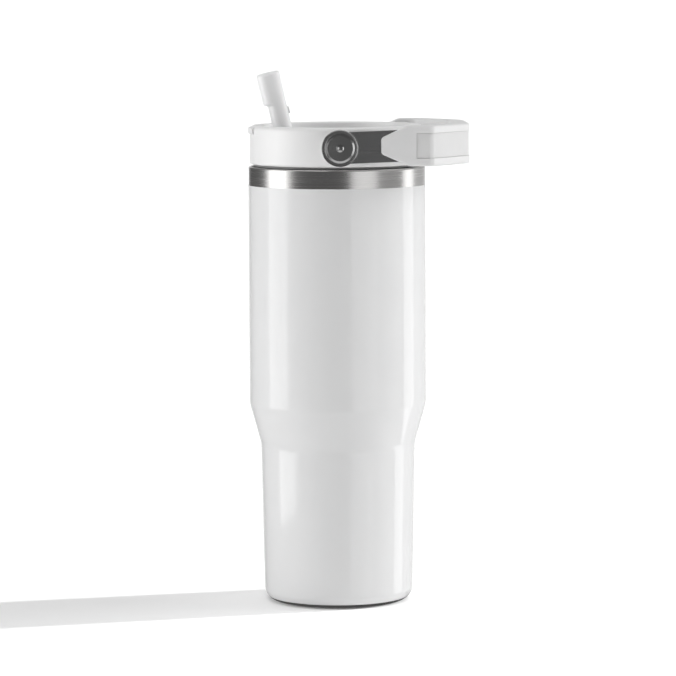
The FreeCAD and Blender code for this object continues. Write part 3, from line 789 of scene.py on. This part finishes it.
ROUND_THE_PIN = (1, 0.1, 1)
brass = small_metal("insert_brass", (0.62, 0.44, 0.18), (0.82, 0.63, 0.32), 0.3, 1500)
wear(brass, part["pivot_insert_front"], part["pivot_insert_back"])
pin_steel = small_metal("pin_steel", (0.42, 0.42, 0.42), (0.58, 0.58, 0.58), 0.25, 2500, ROUND_THE_PIN)
wear(pin_steel, part["hinge_pin_front"], part["hinge_pin_back"])
copper = small_metal("copper_foil", (0.75, 0.40, 0.27), (0.93, 0.60, 0.45), 0.25, 150)
wear(copper, part["heat_foil"])
solder = small_metal("solder", (0.40, 0.40, 0.42), (0.60, 0.60, 0.62), 0.5, 900)
wear(solder, part["vacuum_seal_plug"])
getter = small_metal("getter", (0.06, 0.06, 0.06), (0.14, 0.13, 0.13), 0.7, 2500)
wear(getter, part["getter_pellet"])

# %% [markdown]
# ## The floor
# The object stands on a plain white floor that runs far past the view. A curved backdrop is usual in a
# studio, but here a disc under a white sky gives the same even white. The floor is left out of
# reflections, because a real set has darker ground beside the table, and the steel would show a
# blazing floor along its lower half.

# %% Lay the floor
FLOOR_R = 80
bpy.ops.object.select_all(action="DESELECT")
bpy.ops.mesh.primitive_circle_add(vertices=64, radius=FLOOR_R, fill_type="TRIFAN", location=(0, 0, 0))
floor = bpy.context.object
floor.name = "floor"
floor.visible_glossy = False
wear(new_finish("floor_paint", (0.9, 0.9, 0.9), 0.9, Specular_IOR_Level=0.0), floor)

# %% [markdown]
# ## The camera
# A long lens nearly two metres away keeps the upright sides parallel. It stands a little above the lid
# and looks down by about six degrees, so the lid's deck just shows. It could be aimed by a Track To
# constraint, but four matrices in a row say the same with plain numbers: go there, swing round, nod
# down, and roll by a hair.

# %% Place the camera
CAMERA_DISTANCE = 1.8975
CAMERA_HEIGHT = 0.319
CAMERA_AZIMUTH = math.radians(1.9)
CAMERA_NOD = 0.0977
CAMERA_ROLL = -0.0045
bpy.ops.object.camera_add()
camera = bpy.context.object
camera.data.sensor_width = 36
camera.data.lens = 200.59
camera.data.shift_x = 0.00068
place = Matrix.Translation((-CAMERA_DISTANCE * math.sin(CAMERA_AZIMUTH),
                            -CAMERA_DISTANCE * math.cos(CAMERA_AZIMUTH), CAMERA_HEIGHT))
swing = Matrix.Rotation(-CAMERA_AZIMUTH, 4, "Z")
nod = Matrix.Rotation(math.pi / 2 - CAMERA_NOD, 4, "X")
roll = Matrix.Rotation(CAMERA_ROLL, 4, "Z")
camera.matrix_world = place @ swing @ nod @ roll
bpy.context.scene.camera = camera
bpy.context.scene.view_settings.view_transform = "Standard"
print("camera at", [round(c, 3) for c in camera.matrix_world.translation])

# %% [markdown]
# ## The lamps
# One key from the right and slightly behind throws the long, crisp shadow. A light that hard would also
# draw the grip's shadow across the flask, so light linking keeps it to the floor, and two wide, soft
# fills light the object from its sides. A small lamp without a shadow lifts the floor's shade next to
# the foot. Area lights could do all this too, but suns are even from top to bottom.

# %% Lamps
def around(azimuth, distance, height):
    """A place at an azimuth round the flask; 0 is towards the camera and 90 to its right."""
    return Vector((distance * math.sin(azimuth), -distance * math.cos(azimuth), height))


def distant_light(name, azimuth, elevation, strength, spread):
    """A far, even light from one direction. It is left out of reflections, which the cards make."""
    bpy.ops.object.light_add(type="SUN")
    light = bpy.context.object
    light.name = name
    light.data.energy = strength
    light.data.angle = math.radians(spread)
    up = math.radians(elevation)
    aim = around(math.radians(azimuth), math.cos(up), math.sin(up))
    light.rotation_euler = aim.to_track_quat("Z", "Y").to_euler()
    light.visible_glossy = False
    print(f"{name}: from {azimuth} degrees, strength {strength}")
    return light


LAMP_HEIGHT = 20
floor_only = bpy.data.collections.new("floor_only")
floor_only.objects.link(floor)
shadow_key = distant_light("shadow_key", 104, LAMP_HEIGHT, 3.7, spread=2.5)
shadow_key.light_linking.receiver_collection = floor_only
distant_light("left_fill", -88, LAMP_HEIGHT, 1.7, spread=44)
distant_light("right_fill", 92, LAMP_HEIGHT, 1.95, spread=44)

# %% A lamp for the shadow's near end
bpy.ops.object.light_add(type="POINT", location=(-35 * MM, 0, 100 * MM))
foot_fill = bpy.context.object
foot_fill.name = "foot_fill"
foot_fill.data.energy = 0.06
foot_fill.data.use_shadow = False
foot_fill.light_linking.receiver_collection = floor_only

# %% [markdown]
# ## The sky
# The sky is dim near the horizon and bright overhead, as under a large ceiling softbox, so level faces
# are white and upright faces stay grey. The view itself sees plain white behind the object. Both are
# joined by a Light Path node, which tells what the camera sees from what lights the scene.

# %% Sky
sky = bpy.data.worlds.new("sky")
bpy.context.scene.world = sky
sky.use_nodes = True
tree = sky.node_tree
tree.nodes.clear()
direction = tree.nodes.new("ShaderNodeTexCoord")
split = tree.nodes.new("ShaderNodeSeparateXYZ")
fade = tree.nodes.new("ShaderNodeMapRange")
fade.interpolation_type = "SMOOTHSTEP"
for socket, value in (("From Min", 0.45), ("From Max", 0.85), ("To Min", 0.12), ("To Max", 0.98)):
    fade.inputs[socket].default_value = value
glow = tree.nodes.new("ShaderNodeBackground")
plain = tree.nodes.new("ShaderNodeBackground")
plain.inputs["Color"].default_value = (1, 1, 1, 1)
rays = tree.nodes.new("ShaderNodeLightPath")
either = tree.nodes.new("ShaderNodeMixShader")
out = tree.nodes.new("ShaderNodeOutputWorld")
for source, target in ((direction.outputs["Generated"], split.inputs["Vector"]),
                       (split.outputs["Z"], fade.inputs["Value"]),
                       (fade.outputs["Result"], glow.inputs["Strength"]),
                       (rays.outputs["Is Camera Ray"], either.inputs["Fac"]),
                       (glow.outputs[0], either.inputs[1]),
                       (plain.outputs[0], either.inputs[2]),
                       (either.outputs[0], out.inputs["Surface"])):
    tree.links.new(source, target)
print("sky nodes:", len(tree.nodes))


# %% [markdown]
# ## What the gloss mirrors
# Steel and glossy powder look like what stands round them. So a ring of grey stands far off, and bent
# cards stand in front of it: a bright softbox on each side with a dimmer rim, a light card and a grey
# card right of the camera, and a pale wall behind. They end a little below the floor's level. The
# shoulder looks downwards, so most of it mirrors only the dim ring under them. Area lamps would also
# show up in the gloss, but cards keep the mirrored shapes apart from the light on the object.

# %% Cards
def glowing(name, radiance):
    """A plain emission material."""
    lit = bpy.data.materials.new(name)
    lit.use_nodes = True
    lit.node_tree.nodes.clear()
    emission = add(lit, "Emission", Strength=radiance)
    output = add(lit, "OutputMaterial")
    join(lit, emission.outputs[0], output.inputs["Surface"])
    return lit


def card(name, azimuths, distance, low, high, radiance):
    """An upright glowing card, bent round the flask between two azimuths. Only reflections see it."""
    start = around(math.radians(azimuths[0]), distance, low)
    sheet = draw_outline(name, [(*start, 0), (start.x, start.y, high, 0)])
    bpy.ops.mesh.select_all(action="SELECT")
    span = math.radians(azimuths[1] - azimuths[0])
    # Spin counts its angle clockwise from above, and azimuths run the other way.
    bpy.ops.mesh.spin(steps=24, angle=-span, center=(0, 0, 0), axis=(0, 0, 1))
    close_edit(sheet)
    wear(glowing(name + "_light", radiance), sheet)
    sheet.visible_camera = False
    sheet.visible_diffuse = False
    sheet.visible_shadow = False
    sheet.visible_transmission = False


CARD_TOP = 0.6
card("dark_ring", (0, 360), 1.5, low=-1.0, high=1.2, radiance=0.115)
card("left_softbox", (-99, -68), 0.7, -0.1, CARD_TOP, radiance=2.3)
card("left_glow", (-106, -61), 0.72, -0.1, CARD_TOP, radiance=0.6)
card("right_softbox", (92, 113), 0.7, -0.2, CARD_TOP, radiance=1.9)
card("right_glow", (113, 150), 0.72, -0.2, CARD_TOP, radiance=0.56)
card("back_wall", (150, 200), 1.2, -0.3, 0.8, radiance=0.7)
card("light_card", (16, 51), 1.0, -0.25, CARD_TOP, radiance=1.08)
card("grey_card", (50, 88), 1.1, -0.25, CARD_TOP, radiance=0.38)
